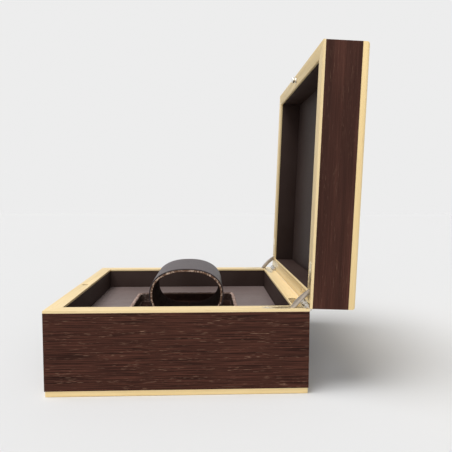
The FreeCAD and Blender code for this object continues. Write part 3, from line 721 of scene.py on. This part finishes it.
def make_tray(well_half):
    """Satin-covered tray board with the opening for the well."""
    low, high = extent("tray_panel")
    shape = covered_board(
        high.x, high.y, depth=high.z - low.z, cell=2.6 * MM, uneven=drawn_cloth,
        hole_core=well_half - WELL_CORNER, hole_radius=WELL_CORNER + WELL_WALL + TRAY_PLAY)
    bmesh.ops.translate(shape, vec=(0, 0, high.z), verts=shape.verts)
    finished("tray_satin", shape, tray_finish, "tray_panel")


def make_lid_panel():
    """Covered panel, turned face down in the closed lid and carried up with the open one."""
    low, high = extent("lid_panel", lid_frame)
    half = (high - low) / 2
    shape = covered_board(
        half.x, half.y, depth=high.z - low.z, cell=4.0 * MM, uneven=padded_lid)
    middle = Vector(((low.x + high.x) / 2, (low.y + high.y) / 2, low.z))
    face_down = Matrix.Translation(middle) @ Matrix.Rotation(math.pi, 4, "X")
    bmesh.ops.transform(shape, matrix=lid_frame @ face_down, verts=shape.verts)
    finished("lid_panel_cover", shape, panel_finish, "lid_panel")


def mark_well_painted_light(shape, tray_top):
    """Mark the well for painted light: the lips along the front and back fully, for painted sheen and wear, the
    other lips a little, more away from the cuff, and the walls a little beside the cuff, as painted light outside
    the cuff's shadow.
    """
    wear_and_painted_light = shape.faces.layers.float.new("wear_and_painted_light")
    for face in shape.faces:
        centre = face.calc_center_median()
        outside_cuff_shadow = min(max((abs(centre.y) - CUFF_SHADOW_REACH) / SHADOW_EDGE_FADE, 0.0), 1.0)
        # Lips are painted pale: fully along the front and back, as painted sheen and wear, a little elsewhere
        if centre.z > tray_top:
            on_long_lip = abs(centre.y) > abs(centre.x)
            face[wear_and_painted_light] = 1.0 if on_long_lip else 0.1 + 0.25 * outside_cuff_shadow
        # Walls are painted a little lighter outside the cuff's shadow, more at the front
        else:
            face[wear_and_painted_light] = (0.18 if centre.y < 0 else 0.08) * outside_cuff_shadow


def make_well(well_half):
    """Suede tub: a flat floor, coved walls and a soft rolled lip that lies on the tray."""
    low, high = extent("well_tub")
    tray_top = extent("tray_panel")[1].z
    floor = low.z + WELL_BOTTOM
    lip = LIP_REACH / 2
    core = well_half - WELL_CORNER
    shape = bmesh.new()
    bmesh.ops.create_grid(shape, x_segments=1, y_segments=1, size=well_half - WELL_COVE)
    bmesh.ops.bevel(
        shape, geom=shape.verts[:], offset=WELL_CORNER - WELL_COVE, offset_type="OFFSET",
        affect="VERTICES", segments=CORNER_SEGMENTS, profile=0.5, material=-1)
    sides = [edge for edge in shape.edges if edge.calc_length() > well_half / 2]
    bmesh.ops.subdivide_edges(shape, edges=sides, cuts=SIDE_CUTS)
    bmesh.ops.translate(shape, vec=(0, 0, floor), verts=shape.verts)
    border = [edge for edge in shape.edges if edge.is_boundary]
    coved = [(outwards, -upwards) for outwards, upwards in rolled(WELL_COVE)]
    wall = high.z - lip - floor - WELL_COVE
    border = swept_edge(shape, border, core, core, coved + [(0.0, wall / 3)] * 3)
    firm = set(shape.verts)
    rest = tray_top + LIP_OVER_TRAY
    turn = (math.pi - math.asin((rest - high.z + lip) / lip)) / LIP_STEPS
    over = []
    for step in range(LIP_STEPS):
        before, after = turn * step, turn * (step + 1)
        outwards = lip * (math.cos(before) - math.cos(after))
        upwards = lip * (math.sin(after) - math.sin(before))
        over.append((outwards, upwards))
    border = swept_edge(shape, border, core, core, over)
    soft = [vertex for vertex in shape.verts if vertex not in firm]
    reach = lip * (1 - math.cos(LIP_STEPS * turn))
    border = swept_edge(shape, border, core, core, [(WELL_WALL - reach, 0.0), (0.0, low.z - rest)])
    bmesh.ops.edgeloop_fill(shape, edges=border)
    bmesh.ops.recalc_face_normals(shape, faces=shape.faces)
    shape.normal_update()
    mark_well_painted_light(shape, tray_top)
    for vertex in soft:
        lump = noise.noise(vertex.co / (2.2 * MM)) + 0.6 * noise.noise(vertex.co / (0.9 * MM))
        vertex.co += LIP_LUMPS * lump * vertex.normal
    finished("well_suede", shape, well_suede_and_shade, "well_tub")


def bent_strip(inset, thickness, shortened, ends):
    """A strip bent into the cuff's oval along X, open along the slit under it."""
    low, high = extent("cuff_cover")
    middle = (low + high) / 2
    half_y, half_z = (high.y - low.y) / 2 - inset, (high.z - low.z) / 2 - inset
    reach = (high.x - low.x) / 2 - shortened
    shape = bmesh.new()
    bmesh.ops.create_circle(shape, segments=OVAL_SEGMENTS, radius=1.0, cap_ends=False)
    for vertex in shape.verts:
        across, up = vertex.co.x, vertex.co.y
        flat = (abs(across) ** OVAL_POWER + abs(up) ** OVAL_POWER) ** (-1 / OVAL_POWER)
        vertex.co = Vector((-reach, half_y * across * flat, half_z * up * flat))
    lowest = min(shape.verts, key=lambda vertex: vertex.co.z + abs(vertex.co.y))
    bmesh.ops.delete(shape, geom=[lowest], context="VERTS")
    for vertex in [vertex for vertex in shape.verts if len(vertex.link_edges) == 1]:
        vertex.co.y = math.copysign(SLIT_HALF, vertex.co.y)
    edges = shape.edges[:]
    for _ in range(STRIP_STEPS):
        made = bmesh.ops.extrude_edge_only(shape, edges=edges)["geom"]
        fresh = [item for item in made if isinstance(item, bmesh.types.BMVert)]
        bmesh.ops.translate(shape, vec=(2 * reach / STRIP_STEPS, 0, 0), verts=fresh)
        made = [item for item in made if isinstance(item, bmesh.types.BMEdge) and item.is_boundary]
        edges = [edge for edge in made if abs(edge.verts[0].co.x - edge.verts[1].co.x) < WELD]
    bmesh.ops.translate(shape, vec=middle, verts=shape.verts)
    bmesh.ops.recalc_face_normals(shape, faces=shape.faces)
    outward = sum(face.normal.dot(face.calc_center_median() - middle) for face in shape.faces)
    if outward < 0:
        bmesh.ops.reverse_faces(shape, faces=shape.faces)
    bmesh.ops.solidify(shape, geom=shape.faces[:], thickness=thickness)
    bmesh.ops.recalc_face_normals(shape, faces=shape.faces)
    square = math.radians(60)
    sharp = [edge for edge in shape.edges if edge.is_manifold and edge.calc_face_angle() > square]
    bmesh.ops.bevel(
        shape, geom=sharp, offset=ends, offset_type="OFFSET", affect="EDGES",
        segments=3, profile=0.5, material=-1, clamp_overlap=True)
    # The strip's ends are marked; on the suede liner this paints them tan, for the raw cut edge and painted sheen
    wear_and_painted_light = shape.faces.layers.float.new("wear_and_painted_light")
    for face in shape.faces:
        if abs(face.calc_center_median().x - middle.x) > reach - ends - WELD:
            face[wear_and_painted_light] = 1.0
    return shape


well_half = extent("well_tub")[1].x - LIP_REACH
make_tray(well_half)
make_lid_panel()
make_well(well_half)
cover = bent_strip(inset=0.0, thickness=0.55 * MM, shortened=0.0, ends=0.2 * MM)
finished("cuff_wrap", cover, cuff_finish, "cuff_cover")
core = bent_strip(inset=0.57 * MM, thickness=0.38 * MM, shortened=0.9 * MM, ends=0.1 * MM)
finished("cuff_spring", core, core_finish, "cuff_core")
liner = bent_strip(inset=0.97 * MM, thickness=1.7 * MM, shortened=0.1 * MM, ends=0.7 * MM)
finished("cuff_suede", liner, liner_finish, "cuff_liner")


# Floor, light and camera

FLOOR_GREY = (0.722, 0.722, 0.722)
FLOOR_HALF = 3.0


def make_floor():
    """A wide level floor of plain pale grey."""
    material, _, shader = new_finish("Pale floor", FLOOR_GREY)
    shader["Base Color"].default_value = (*FLOOR_GREY, 1.0)
    shader["Roughness"].default_value = 0.9
    shader["Specular IOR Level"].default_value = 0.1
    shape = bmesh.new()
    bmesh.ops.create_grid(shape, x_segments=1, y_segments=1, size=FLOOR_HALF)
    mesh = bpy.data.meshes.new("floor")
    shape.to_mesh(mesh)
    shape.free()
    mesh.materials.append(material)
    floor = bpy.data.objects.new("floor", mesh)
    bpy.context.scene.collection.objects.link(floor)


def broad_sun(name, towards, spread, level):
    """A distant lamp with soft shadows, so that the floor is lit evenly to the horizon."""
    light = bpy.data.lights.new(name, "SUN")
    light.angle = math.radians(spread)
    light.energy = level * math.pi
    lamp = bpy.data.objects.new(name, light)
    lamp.rotation_euler = Vector(towards).to_track_quat("Z", "Y").to_euler()
    bpy.context.scene.collection.objects.link(lamp)


def make_world(light, backdrop):
    """Even light from all round, and a pale backdrop for the camera and for reflections."""
    world = bpy.data.worlds.new("Studio")
    world.use_nodes = True
    tree = world.node_tree
    path = add(tree, "ShaderNodeLightPath").outputs
    seen = math_node(tree, "MAXIMUM", path["Is Camera Ray"], path["Is Glossy Ray"])
    background = tree.nodes["Background"].inputs
    background["Color"].default_value = (1.0, 1.0, 1.0, 1.0)
    feed(tree, background["Strength"], ranged(tree, seen, light, backdrop))
    bpy.context.scene.world = world


def make_camera(place, yaw, pitch, roll, lens):
    """A camera at a place, turned by angles in degrees from looking along -X."""
    yaw, pitch, roll = math.radians(yaw), math.radians(pitch), math.radians(roll)
    ahead = Vector((-math.cos(yaw), math.sin(yaw), 0.0))
    forward = math.cos(pitch) * ahead + Vector((0.0, 0.0, math.sin(pitch)))
    level = Vector((math.sin(yaw), math.cos(yaw), 0.0))
    upright = level.cross(forward)
    right = math.cos(roll) * level + math.sin(roll) * upright
    up = math.cos(roll) * upright - math.sin(roll) * level
    data = bpy.data.cameras.new("camera")
    data.sensor_width = 36.0
    data.lens = lens
    data.clip_start = 0.01
    camera = bpy.data.objects.new("camera", data)
    turn = Matrix((right, up, -forward)).transposed().to_4x4()
    camera.matrix_world = Matrix.Translation(place) @ turn
    bpy.context.scene.collection.objects.link(camera)
    bpy.context.scene.camera = camera


make_floor()
make_world(light=0.26, backdrop=0.846)
broad_sun("overhead", towards=(0.14, -0.34, 1.0), spread=36, level=0.80)
broad_sun("side_fill", towards=(1.0, 0.08, 0.30), spread=70, level=0.50)
# The photograph's viewpoint, found from the corners of the base and the lid
make_camera((0.418781, 0.020608, 0.145419), yaw=2.431, pitch=-4.009, roll=0.158, lens=36.665)
bpy.context.scene.view_settings.view_transform = "Standard"
